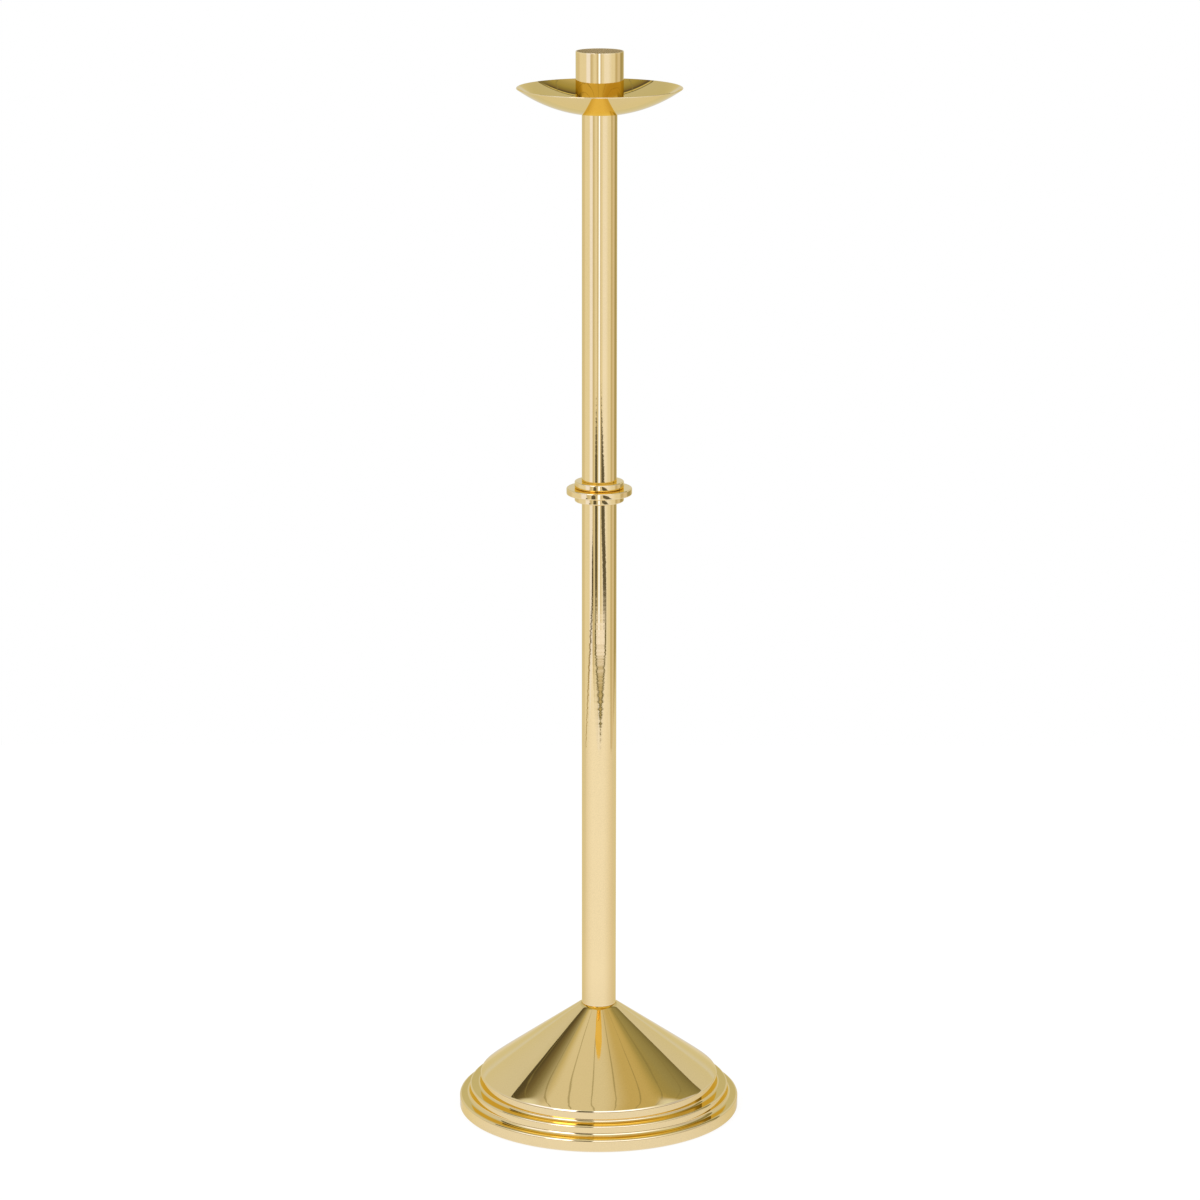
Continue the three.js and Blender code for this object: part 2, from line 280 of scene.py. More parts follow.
    def near_places(self, radius: Value, height: Value, places: list[Place]) -> Socket:
        """The distance from the nearest of some circles round the axis.

        Args:
            radius: the distance from the axis.
            height: the height.
            places: radius and height of each circle, in millimetres.

        Returns:
            The distance's socket, in metres.
        """
        nearest = None
        for ring_radius, ring_height in places:
            across = self.math("SUBTRACT", radius, ring_radius * MM)
            up = self.math("SUBTRACT", height, ring_height * MM)
            square = self.math("MULTIPLY_ADD", across, across, self.product(up, up))
            nearest = square if nearest is None else self.math("MINIMUM", nearest, square)
        return self.math("SQRT", nearest)


def new_material(name: str) -> tuple[bpy.types.Material, NodeBench, bpy.types.Node]:
    """Makes a material with one Principled shader.

    Args:
        name: the material's name.

    Returns:
        The material, its node bench and its shader node.
    """
    material = bpy.data.materials.new(name)
    material.use_nodes = True
    bench = NodeBench(material.node_tree)
    shader = bench.node("BsdfPrincipled")
    bench.node("OutputMaterial", {"Surface": shader.outputs[0]})
    return material, bench, shader


# Finishes


@dataclass(frozen=True)
class PolishedBrass:
    """Spun or turned brass, polished and lacquered.

    The noises are a scale and a number of finer layers. Spans, ripple and sway are in metres.
    """

    tone: Colour = (0.885, 0.672, 0.30)
    grain_shade: float = 0.94
    grain: Span = (750.0, 3.0)
    cloud: Span = (9.0, 3.0)
    grazing_tone: Colour = (0.98, 0.88, 0.55)
    worn_tone: Colour = (0.92, 0.74, 0.40)
    worn_span: Span = (0.0022, 0.0004)
    worn_share: float = 0.55
    # Painted shade: a deeper gold darkens the inside corners, where brass mirrors brass
    crease_shade_tone: Colour = (0.62, 0.42, 0.13)
    crease_shade_span: Span = (0.0018, 0.0002)
    crease_shade_share: float = 0.5
    # The bore's satin: a rough finish, with a darker tone that is partly painted shade inside the
    # cup
    satin_shade_tone: Colour = (0.46, 0.36, 0.19)
    satin_roughness: float = 0.45
    satin_metal: float = 0.1
    satin_edge: Span = (0.2, 0.1)
    roughness: float = 0.03
    smear: Span = (60.0, 4.0)
    smear_spread: float = 0.02
    lacquer: float = 0.12
    lacquer_roughness: float = 0.04
    lacquer_index: float = 1.45
    turning: Span = (1500.0, 2.0)
    peel: Span = (420.0, 2.0)
    fine_depth: float = 0.00001
    ripple: float = 0.0
    ripple_noise: Span = (170.0, 1.0)
    sway: float = 0.0
    sway_noise: Span = (24.0, 1.0)

    def material(self, name: str, edges: list[Place], creases: list[Place],
                 bore: Place | None = None) -> bpy.types.Material:
        """Makes the brass of one piece.

        Args:
            name: the piece's name.
            edges: radius and height of each edge that polishing has thinned, in millimetres.
            creases: radius and height of each corner that gets a painted shade, in millimetres.
            bore: radius and floor of a satin bore, darkened as painted shade, in millimetres.

        Returns:
            The material.
        """
        material, bench, shader = new_material("brass_" + name)
        place, radius, height = bench.around_axis()
        shade = bench.product(bench.step(bench.noise(place, *self.grain), 0.3, 0.7),
                              bench.step(bench.noise(place, *self.cloud), 0.2, 0.6))
        tone = bench.mix(shade, self.tone, tuple(self.grain_shade * part for part in self.tone))
        # A lighter tone on edges that polishing has thinned, and painted shade in the corners
        for places, span, share, mark in (
                (edges, self.worn_span, self.worn_share, self.worn_tone),
                (creases, self.crease_shade_span, self.crease_shade_share, self.crease_shade_tone)):
            if places:
                near = bench.step(bench.near_places(radius, height, places), *span)
                tone = bench.mix(bench.product(near, share), tone, mark)
        rough = bench.scaled(bench.noise(place, *self.smear), self.smear_spread,
                             self.roughness - self.smear_spread / 2)
        metal: Value = 1.0
        # The bore is left satin; its darker tone is partly the finish and partly painted shade
        if bore is not None:
            outer, inner = self.satin_edge
            satin = bench.product(
                bench.step(radius, (bore[0] + outer) * MM, (bore[0] + inner) * MM),
                bench.step(height, (bore[1] - outer) * MM, (bore[1] - inner) * MM))
            tone = bench.mix(satin, tone, self.satin_shade_tone)
            rough = bench.scaled(satin, self.satin_roughness, rough)
            metal = bench.scaled(satin, self.satin_metal - 1.0, 1.0)
        turned = bench.pair(radius, height)
        surface = bench.bump(bench.noise(turned, *self.turning), self.fine_depth, 0.1)
        surface = bench.bump(bench.noise(place, *self.peel), self.fine_depth, 0.16, surface)
        if self.ripple:
            surface = bench.bump(bench.noise(turned, *self.ripple_noise), self.ripple, 1.0,
                                 surface)
        if self.sway:
            surface = bench.bump(bench.noise(place, *self.sway_noise), self.sway, 1.0, surface)
        bench.fill(shader, {
            "Base Color": tone, "Roughness": rough, "Metallic": metal, "Normal": surface,
            "Specular Tint": self.grazing_tone, "Coat Weight": self.lacquer,
            "Coat Roughness": self.lacquer_roughness, "Coat IOR": self.lacquer_index,
        })
        return material


@dataclass(frozen=True)
class HiddenMetal:
    """A metal inside the stand: patches of one tone on another, over a fine grain.

    The noises are a scale and a number of finer layers, the roughness its lowest value and its
    spread, and the relief a depth in metres and a strength.
    """

    label: str
    tone: Colour
    patch_tone: Colour
    patches: Span
    patch_span: Span
    grain: Span
    roughness: Span
    relief: Span
    patch_share: float = 1.0
    metal: float = 1.0
    lathe: bool = False

    def material(self, name: str) -> bpy.types.Material:
        """Makes the metal of one piece.

        Args:
            name: the piece's name.

        Returns:
            The material.
        """
        material, bench, shader = new_material(f"{self.label}_{name}")
        place, radius, height = bench.around_axis()
        patch = bench.step(bench.noise(place, *self.patches), *self.patch_span)
        tone = bench.mix(bench.product(patch, self.patch_share), self.tone, self.patch_tone)
        grain = bench.noise(bench.pair(radius, height) if self.lathe else place, *self.grain)
        lowest, spread = self.roughness
        bench.fill(shader, {
            "Base Color": tone, "Metallic": self.metal,
            "Roughness": bench.scaled(grain, spread, lowest),
            "Normal": bench.bump(grain, *self.relief),
        })
        return material


@dataclass(frozen=True)
class TurnedBrass(HiddenMetal):
    """Brass left from the lathe, with its fine tool lines and some tarnish."""

    label: str = "turned"
    tone: Colour = (0.70, 0.50, 0.21)
    patch_tone: Colour = (0.36, 0.24, 0.10)
    patches: Span = (55.0, 5.0)
    patch_span: Span = (0.5, 0.72)
    grain: Span = (2600.0, 1.0)
    roughness: Span = (0.22, 0.14)
    relief: Span = (0.00006, 0.5)
    patch_share: float = 0.5
    lathe: bool = True


@dataclass(frozen=True)
class ZincSteel(HiddenMetal):
    """Zinc-plated steel, with a faint blue and straw bloom."""

    label: str = "steel"
    tone: Colour = (0.56, 0.57, 0.58)
    patch_tone: Colour = (0.60, 0.56, 0.42)
    patches: Span = (38.0, 3.0)
    patch_span: Span = (0.35, 0.7)
    grain: Span = (900.0, 4.0)
    roughness: Span = (0.26, 0.2)
    relief: Span = (0.00004, 0.4)


@dataclass(frozen=True)
class CastIron(HiddenMetal):
    """Raw sand-cast iron with a thin black wash."""

    label: str = "iron"
    tone: Colour = (0.045, 0.044, 0.046)
    patch_tone: Colour = (0.16, 0.075, 0.04)
    patches: Span = (24.0, 6.0)
    patch_span: Span = (0.56, 0.74)
    grain: Span = (700.0, 5.0)
    roughness: Span = (0.6, 0.25)
    relief: Span = (0.0004, 0.7)
    metal: float = 0.5


@dataclass(frozen=True)
class GreenFelt:
    """Pressed wool felt, with short fibres that lie all ways."""

    tone: Colour = (0.022, 0.062, 0.032)
    fibre: Colour = (0.05, 0.115, 0.06)
    fibre_noise: Span = (2400.0, 3.0)
    fibre_stretch: float = 0.16
    weft_turn: float = 0.7
    mottle: Span = (90.0, 4.0)
    roughness: float = 0.95
    sheen: float = 0.35
    sheen_roughness: float = 0.5
    relief: Span = (0.0004, 0.8)

    def material(self, name: str) -> bpy.types.Material:
        """Makes the felt of one piece.

        Args:
            name: the piece's name.

        Returns:
            The material.
        """
        material, bench, shader = new_material("felt_" + name)
        place, _, _ = bench.around_axis()
        fibres = []
        for scale, turn in (((1.0, self.fibre_stretch, 1.0), self.weft_turn),
                            ((self.fibre_stretch, 1.0, 1.0), 0.0)):
            lay = bench.node("Mapping", {
                "Vector": place, "Scale": scale, "Rotation": (0.0, 0.0, turn)})
            fibres.append(bench.noise(lay.outputs[0], *self.fibre_noise))
        fibre = bench.math("MAXIMUM", *fibres)
        shade = bench.product(bench.step(fibre, 0.42, 0.72),
                              bench.step(bench.noise(place, *self.mottle), 0.2, 0.7))
        bench.fill(shader, {
            "Base Color": bench.mix(shade, self.tone, self.fibre), "Roughness": self.roughness,
            "Sheen Weight": self.sheen, "Sheen Roughness": self.sheen_roughness,
            "Normal": bench.bump(fibre, *self.relief),
        })
        return material


# Turning


def deselect_all() -> None:
    """Leaves edit mode and deselects every object."""
    if bpy.context.object and bpy.context.object.mode != "OBJECT":
        bpy.ops.object.mode_set(mode="OBJECT")
    bpy.ops.object.select_all(action="DESELECT")


class TurningBench:
    """Turns one piece: a ring of vertices is drawn from place to place and then finished."""

    def __init__(self, name: str, segments: int, radius: float, height: float) -> None:
        """Adds the first ring.

        Args:
            name: the piece's name.
            segments: how many sides the ring has.
            radius: the ring's radius in millimetres.
            height: its height in millimetres.
        """
        self.segments = segments
        self.radius, self.height = radius, height
        self.first_way: Place | None = None
        deselect_all()
        bpy.ops.mesh.primitive_circle_add(
            vertices=segments, radius=radius * MM, location=(0, 0, height * MM)
        )
        self.piece = bpy.context.object
        self.piece.name = name
        self.piece.data.name = name
        bpy.ops.object.transform_apply(location=True, rotation=True, scale=True)
        bpy.ops.object.mode_set(mode="EDIT")
        bpy.ops.mesh.select_mode(type="EDGE")
        bpy.ops.mesh.select_all(action="SELECT")

    def draw_to(self, radius: float, height: float) -> None:
        """Extrudes the last ring to a new place.

        Args:
            radius: the new radius in millimetres.
            height: the new height in millimetres.
        """
        rise = (height - self.height) * MM
        share = radius / self.radius
        if self.first_way is None:
            self.first_way = (radius - self.radius, height - self.height)
        bpy.ops.mesh.extrude_region_move(TRANSFORM_OT_translate={"value": (0, 0, rise)})
        bpy.ops.transform.resize(value=(share, share, 1.0), center_override=(0, 0, height * MM))
        self.radius, self.height = radius, height

    def draw_along(self, places: list[Place]) -> None:
        """Draws the ring through several places, given by radius and height."""
        for radius, height in places:
            self.draw_to(radius, height)

    def close(self) -> None:
        """Merges the last ring with the first, where the outline comes back to its start."""
        bpy.ops.mesh.select_all(action="SELECT")
        bpy.ops.mesh.remove_doubles(threshold=MERGE_REACH * MM)
        self.face_outwards()

    def face_outwards(self) -> None:
        """Turns the faces outwards."""
        bpy.ops.mesh.select_all(action="SELECT")
        bpy.ops.mesh.normals_make_consistent(inside=False)

    def skin_outwards(self) -> None:
        """Turns the faces of an open skin to the right of the way that it was drawn."""
        self.face_outwards()
        bpy.ops.object.mode_set(mode="OBJECT")
        face = self.piece.data.polygons[0]
        out = math.hypot(face.center.x, face.center.y)
        along = (face.normal.x * face.center.x + face.normal.y * face.center.y) / out
        right_side = along * self.first_way[1] - face.normal.z * self.first_way[0]
        bpy.ops.object.mode_set(mode="EDIT")
        if right_side < 0:
            bpy.ops.mesh.select_all(action="SELECT")
            bpy.ops.mesh.flip_normals()

    def thicken(self, wall: float) -> None:
        """Gives the skin a wall on its inner side.

        Args:
            wall: the wall in millimetres.
        """
        self.skin_outwards()
        bpy.ops.object.mode_set(mode="OBJECT")
        modifier = self.piece.modifiers.new("wall", "SOLIDIFY")
        modifier.thickness = wall * MM
        modifier.offset = -1.0
        modifier.use_even_offset = True
        modifier.use_quality_normals = True
        bpy.ops.object.modifier_apply(modifier=modifier.name)
        bpy.ops.object.mode_set(mode="EDIT")

    def select_rings(self, places: list[Place]) -> int:
        """Selects the edges of the rings at some places.

        Args:
            places: radius and height of each ring, in millimetres.

        Returns:
            How many edges are selected.
        """
        bpy.ops.mesh.select_all(action="DESELECT")
        bpy.ops.object.mode_set(mode="OBJECT")
        mesh = self.piece.data
        points = np.empty(len(mesh.vertices) * 3, np.float32)
        mesh.vertices.foreach_get("co", points)
        points = points.reshape(-1, 3) / MM
        radius = np.hypot(points[:, 0], points[:, 1])
        on_ring = np.full(len(points), -1)
        for index, (ring_radius, ring_height) in enumerate(places):
            near = np.hypot(radius - ring_radius, points[:, 2] - ring_height) < RING_REACH
            on_ring[near] = index
        ends = np.empty(len(mesh.edges) * 2, np.int32)
        mesh.edges.foreach_get("vertices", ends)
        ends = ends.reshape(-1, 2)
        chosen = (on_ring[ends[:, 0]] >= 0) & (on_ring[ends[:, 0]] == on_ring[ends[:, 1]])
        mesh.edges.foreach_set("select", chosen)
        picked = np.zeros(len(points), bool)
        picked[ends[chosen].ravel()] = True
        mesh.vertices.foreach_set("select", picked)
        bpy.ops.object.mode_set(mode="EDIT")
        return int(chosen.sum())

    def round_edges(self, places: list[Place], edge: float, steps: int) -> None:
        """Rounds the edges of some rings.

        Args:
            places: radius and height of each ring, in millimetres.
            edge: how far each edge is cut back, in millimetres.
            steps: the number of faces across the rounding.
        """
        found = self.select_rings(places)
        if found != len(places) * self.segments:
            raise ValueError(f"{self.piece.name}: {found} edges found at {places}")
        bpy.ops.mesh.bevel(
            offset_type="OFFSET", offset=edge * MM, segments=steps, profile=0.5,
            affect="EDGES", clamp_overlap=False,
        )

    def finish(self, material: bpy.types.Material, *nodes: str, body: Body = Body.STAND,
               slot: Slot = Slot.POLISHED_BRASS) -> bpy.types.Object:
        """Smooths the piece, gives it its finish and sets it on its body.

        Args:
            material: its finish.
            nodes: the frame's nodes that it stands for.
            body: the body that it rides on.
            slot: the record's slot of its finish; not used.

        Returns:
            The finished piece.
        """
        self.face_outwards()
        deselect_all()
        piece = self.piece
        piece.select_set(True)
        bpy.context.view_layer.objects.active = piece
        bpy.ops.object.shade_smooth_by_angle(angle=math.radians(SMOOTH_ANGLE))
        modifier = piece.modifiers.new("even_shading", "WEIGHTED_NORMAL")
        modifier.mode = "FACE_AREA"
        modifier.weight = 100
        modifier.keep_sharp = True
        bpy.ops.object.modifier_apply(modifier=modifier.name)
        piece.data.materials.clear()
        piece.data.materials.append(material)
        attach(piece, body.value)
        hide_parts(*nodes)
        LOG.info("%s: %d faces", piece.name, len(piece.data.polygons))
        return piece


# The candlestick's pieces


@dataclass
class Base:
    """The spun base: three steps under a cone, with the edge turned in over its plate."""

    lift: float = 0.8
    wall: float = 1.2
    step_radii: tuple[float, float, float] = (156.4, 144.8, 133.0)
    step_tops: Span = (14.9, 26.5)
    cone_top: Place = (23.8, 118.0478)
    neck: Place = (19.05, 120.6808)
    hole_radius: float = 12.2
    lip_radius: float = 150.9
    crowns: Span = (2.8, 2.2)
    coves: Span = (4.3, 3.0)
    cone_slope: float = 35.5
    fall: float = 19.0
    fall_limit: float = 5.5
    fall_rings: tuple[float, ...] = (45.0, 38.0, 32.0, 27.0, 22.5, 18.5, 15.0, 12.0, 9.5, 7.5, 5.8,
                                     4.2, 2.8, 0.0)
    cone_edge: float = 1.8
    lip_edge: float = 1.1
    edge_steps: int = 8
    lip_steps: int = 5
    felt_radius: float = 150.5
    felt_top: float = 2.0
    felt_rings: tuple[float, ...] = (4.0, 16.0, 34.0, 52.0, 70.0, 88.0, 106.0, 122.0, 136.0, 146.0)
    felt_edge: float = 0.5
    brass: PolishedBrass = field(default_factory=lambda: PolishedBrass(sway=0.00006))

    def cone_outline(self) -> list[Place]:
        """The cone's outline from its edge up, which falls off a little towards the edge.

        Returns:
            Radius and height of each ring.
        """
        foot = self.step_radii[2]
        radius, height = self.cone_top
        places = [self.cone_top]
        from_edge = foot - radius
        for ring in self.fall_rings:
            middle = (from_edge + ring) / 2
            extra = self.fall * max(1 / middle - 1 / self.fall_rings[0], 0.0)
            extra = min(extra, self.fall_limit)
            height -= (from_edge - ring) * math.tan(math.radians(self.cone_slope + extra))
            from_edge = ring
            places.append((foot - ring, height))
        return places[::-1]

    def build_shell(self) -> None:
        """Turns the shell."""
        outer, middle, foot = self.step_radii
        low, mid = self.step_tops
        cone = self.cone_outline()
        bench = TurningBench("base_shell_spun", 320, self.lip_radius, self.lift)
        bench.draw_along([
            (outer, self.lift), (outer, low), (middle, low), (middle, mid), (foot, mid),
            *cone, self.neck, (self.hole_radius, self.neck[1]),
        ])
        bench.thicken(self.wall)
        rounded = ((cone[0], self.cone_edge), ((outer, low), self.crowns[0]),
                   ((middle, mid), self.crowns[1]), ((middle, low), self.coves[0]),
                   ((foot, mid), self.coves[1]))
        for place, edge in rounded:
            bench.round_edges([place], edge, self.edge_steps)
        bench.round_edges([(outer, self.lift)], self.lip_edge, self.lip_steps)
        edges = [(outer, low), (middle, mid), cone[0], (outer, self.lift)]
        # The inside corners, which get painted shade
        creases = [(middle, low), (foot, mid), self.neck]
        bench.finish(self.brass.material("base", edges, creases), "base_shell")

    def build_felt(self) -> None:
        """Cuts the felt pad."""
        centre = self.felt_rings[0]
        bench = TurningBench("felt_pad", 256, centre, 0.0)
        bench.draw_along([(radius, 0.0) for radius in (*self.felt_rings[1:], self.felt_radius)])
        bench.draw_to(self.felt_radius, self.felt_top)
        bench.draw_along([(radius, self.felt_top) for radius in reversed(self.felt_rings)])
        for height in (0.0, self.felt_top):
            bench.select_rings([(centre, height)])
            bpy.ops.mesh.edge_face_add()
        rims = [(self.felt_radius, 0.0), (self.felt_radius, self.felt_top)]
        bench.round_edges(rims, self.felt_edge, 3)
        pad = bench.finish(GreenFelt().material("pad"), "base_felt", slot=Slot.GREEN_FELT)

    def build(self) -> None:
        """Builds the base."""
        self.build_shell()
        self.build_felt()


@dataclass
class Tube:
    """One polished tube of the stem."""

    name: str
    node: str
    foot: float
    top: float
    radius: float = 19.05
    wall: float = 1.25
    edge: float = 0.3
    stations: int = 12
    brass: PolishedBrass = field(default_factory=lambda: PolishedBrass(ripple=0.00001))

    def build(self) -> None:
        """Turns the tube."""
        bench = TurningBench(self.name, 192, self.radius, self.foot)
        length = self.top - self.foot
        bench.draw_along([(self.radius, self.foot + length * step / self.stations)
                          for step in range(1, self.stations + 1)])
        bench.thicken(self.wall)
        ends = [(self.radius, self.foot), (self.radius, self.top)]
        bench.round_edges(ends, self.edge, 3)
        bench.finish(self.brass.material(self.name, ends, []), self.node)


@dataclass
class KnopRing:
    """One flat ring of the knop, turned from bar."""

    name: str
    node: str
    radius: float
    foot: float
    height: float
    bore: float = 4.86
    edge: float = 1.3
    brass: PolishedBrass = field(default_factory=PolishedBrass)

    def build(self) -> None:
        """Turns the ring."""
        top = self.foot + self.height
        bench = TurningBench(self.name, 224, self.bore, self.foot)
        bench.draw_along([(self.radius, self.foot), (self.radius, top), (self.bore, top),
                          (self.bore, self.foot)])
        bench.close()
        edges = [(self.radius, self.foot), (self.radius, top)]
        bench.round_edges(edges, self.edge, 6)
        bench.finish(self.brass.material(self.name, edges, []), self.node)


@dataclass
class Stem:
    """The two tubes and the knop between them."""

    lower_foot: float = 120.7308
    lower_top: float = 695.5308
    upper_foot: float = 718.0308
    upper_top: float = 1118.6308

    def build(self) -> None:
        """Builds the stem from its foot up."""
        for part in (
            Tube("lower_stem_tube", "lower_tube", self.lower_foot, self.lower_top),
            KnopRing("knop_ring_low", "knop_lower_ring", 26.9, 695.5808, 7.5),
            KnopRing("knop_ring_wide", "knop_middle_ring", 35.8, 703.1308, 7.3),
            KnopRing("knop_ring_high", "knop_upper_ring", 26.9, 710.4808, 7.5),
            Tube("upper_stem_tube", "upper_tube", self.upper_foot, self.upper_top),
        ):
            part.build()


@dataclass
class DripPan:
    """The spun pan that catches the wax."""

    foot: float = 1118.6808
    radius: float = 89.3
    depth: float = 26.4
    seat_radius: float = 26.5
    cup_radius: float = 25.75
    hole_radius: float = 10.2
    wall: float = 1.1
    rim_edge: float = 0.45
    rings: int = 40
    brass: PolishedBrass = field(default_factory=PolishedBrass)

    def build(self) -> None:
        """Turns the pan."""
        rise = (self.radius ** 2 - self.seat_radius ** 2 + self.depth ** 2) / (2 * self.depth)
        sphere = math.hypot(rise, self.seat_radius)
        centre = self.foot + rise
        start = math.asin(self.seat_radius / sphere)
        end = math.asin(self.radius / sphere)
        bench = TurningBench("drip_pan_spun", 288, self.hole_radius, self.foot)
        bench.draw_to(self.seat_radius, self.foot)
        for step in range(1, self.rings + 1):
            angle = start + (end - start) * step / self.rings
            bench.draw_to(sphere * math.sin(angle), centre - sphere * math.cos(angle))
        bench.thicken(self.wall)
        rim = (self.radius, centre - sphere * math.cos(end))
        inner = (self.radius - self.wall * math.sin(end), rim[1] + self.wall * math.cos(end))
        bench.round_edges([rim, inner], self.rim_edge, 5)
        middle = ((rim[0] + inner[0]) / 2, (rim[1] + inner[1]) / 2)
        # The corner round the cup's seat, which gets painted shade
        crease = (self.cup_radius, self.foot + self.wall)
        bench.finish(self.brass.material("pan", [middle], [crease]), "drip_pan")


@dataclass
class CandleCup:
    """The straight cup that takes the candle, with the floor that its hub is brazed to."""

    foot: float = 1119.8308
    height: float = 65.0
    floor: float = 3.2
    bore: float = 24.6
    wall: float = 1.15
    hub_hole: float = 10.05
    foot_edge: float = 1.5
    rim_edge: float = 0.4
    floor_edge: float = 0.6
    brass: PolishedBrass = field(default_factory=PolishedBrass)

    def build(self) -> None:
        """Turns the cup."""
        outside = self.bore + self.wall
        rim = self.foot + self.height
        floor_top = self.foot + self.floor
        corner = (self.bore, floor_top)
        bench = TurningBench("candle_cup_turned", 224, self.hub_hole, self.foot)
        bench.draw_along([
            (outside, self.foot), (outside, self.foot + self.height / 2), (outside, rim),
            (self.bore, rim), corner, (self.hub_hole, floor_top), (self.hub_hole, self.foot),
        ])
        bench.close()
        bench.round_edges([(outside, self.foot)], self.foot_edge, 6)
        bench.round_edges([(outside, rim), (self.bore, rim)], self.rim_edge, 4)
        bench.round_edges([corner], self.floor_edge, 4)
        edges = [(outside, rim), (self.bore, rim), (outside, self.foot)]
        # The floor's corner gets painted shade
        bench.finish(self.brass.material("cup", edges, [corner], corner), "candle_cup",
                     body=Body.CUP)


@dataclass
class HiddenParts:
    """The solids inside that keep their shape and get their finish."""

    steel: tuple[str, ...] = ("base_plate", "base_nut", "base_spring_washer", "base_washer",
                              "tie_rod", "rod_lock_nut")
    turned: tuple[str, ...] = ("lower_foot_plug", "lower_head_plug", "upper_foot_plug",
                               "upper_head_plug", "cup_hub")
    iron: tuple[str, ...] = ("base_ballast",)

    def build(self) -> None:
        """Dresses the solids."""
        for names, finish in ((self.steel, ZincSteel()), (self.turned, TurnedBrass()),
                              (self.iron, CastIron())):
            for name in names:
                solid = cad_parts[name]
                solid.data.materials.clear()
                solid.data.materials.append(finish.material(name))
                LOG.info("%s: dressed", name)


# The studio


@dataclass(frozen=True)
class Floor:
    """The pale floor, which stays white to the camera and keeps the object's shadow.

    Spans are degrees from the brightest bearing, and metres back from the axis or round it.
    """

    half_width: float = 1.5
    tone: Colour = (0.88, 0.88, 0.88)
    bright: Colour = (1.06, 1.06, 1.06)
    # The tones that the brass mirrors: painted light, brightest in front, and a painted shadow
    # (dark) near the axis
    front: Colour = (1.0, 1.06, 1.42)
    side: Colour = (0.77, 0.75, 0.80)
    behind: Colour = (0.75, 0.77, 0.88)
    dark: Colour = (0.1, 0.1, 0.1)
    brightest: float = -9.0
    side_span: Span = (28.0, 124.0)
    behind_span: Span = (0.05, 0.35)
    shadow_span: Span = (0.55, 0.2)
    shadow_share: float = 0.1
    glow: float = 0.80

    def mirrored(self, bench: NodeBench) -> Socket:
        """The tone that the brass mirrors: painted light in front, painted shadow near the axis.

        Args:
            bench: the floor's node bench.

        Returns:
            The tone's socket.
        """
        place, distance, _ = bench.around_axis()
        right, away, _ = bench.node("SeparateXYZ", {0: place}).outputs
        off = bench.off(bench.bearing(right, away), self.brightest)
        tone = bench.mix(bench.step(off, *self.side_span), self.front, self.side)
        tone = bench.mix(bench.step(away, *self.behind_span), tone, self.behind)
        # Painted shadow round the object's foot, darkening the mirrored tone near the axis
        near = bench.product(bench.step(distance, *self.shadow_span), self.shadow_share)
        return bench.after_two_mirrors(bench.mix(near, tone, self.dark))

    def build(self) -> None:
        """Lays the floor."""
        deselect_all()
        bpy.ops.mesh.primitive_plane_add(size=2 * self.half_width, location=(0, 0, 0))
        plane = bpy.context.object
        plane.name = "studio_floor"
        bpy.ops.object.mode_set(mode="EDIT")
        bpy.ops.mesh.subdivide(number_cuts=11)
        bpy.ops.object.mode_set(mode="OBJECT")
        material = bpy.data.materials.new("pale_floor")
        material.use_nodes = True
        bench = NodeBench(material.node_tree)
        to_camera, mirrored = bench.rays()
        matt = bench.node("BsdfDiffuse", {"Color": self.tone})
        glow = bench.node("Emission", {
            "Color": bench.mix(to_camera, self.mirrored(bench), self.bright)})
        seen = bench.math("MAXIMUM", to_camera, mirrored)
        share = bench.node("MixShader", {
            0: bench.product(seen, self.glow), 1: matt.outputs[0], 2: glow.outputs[0]})
        bench.node("OutputMaterial", {"Surface": share.outputs[0]})
        plane.data.materials.append(material)


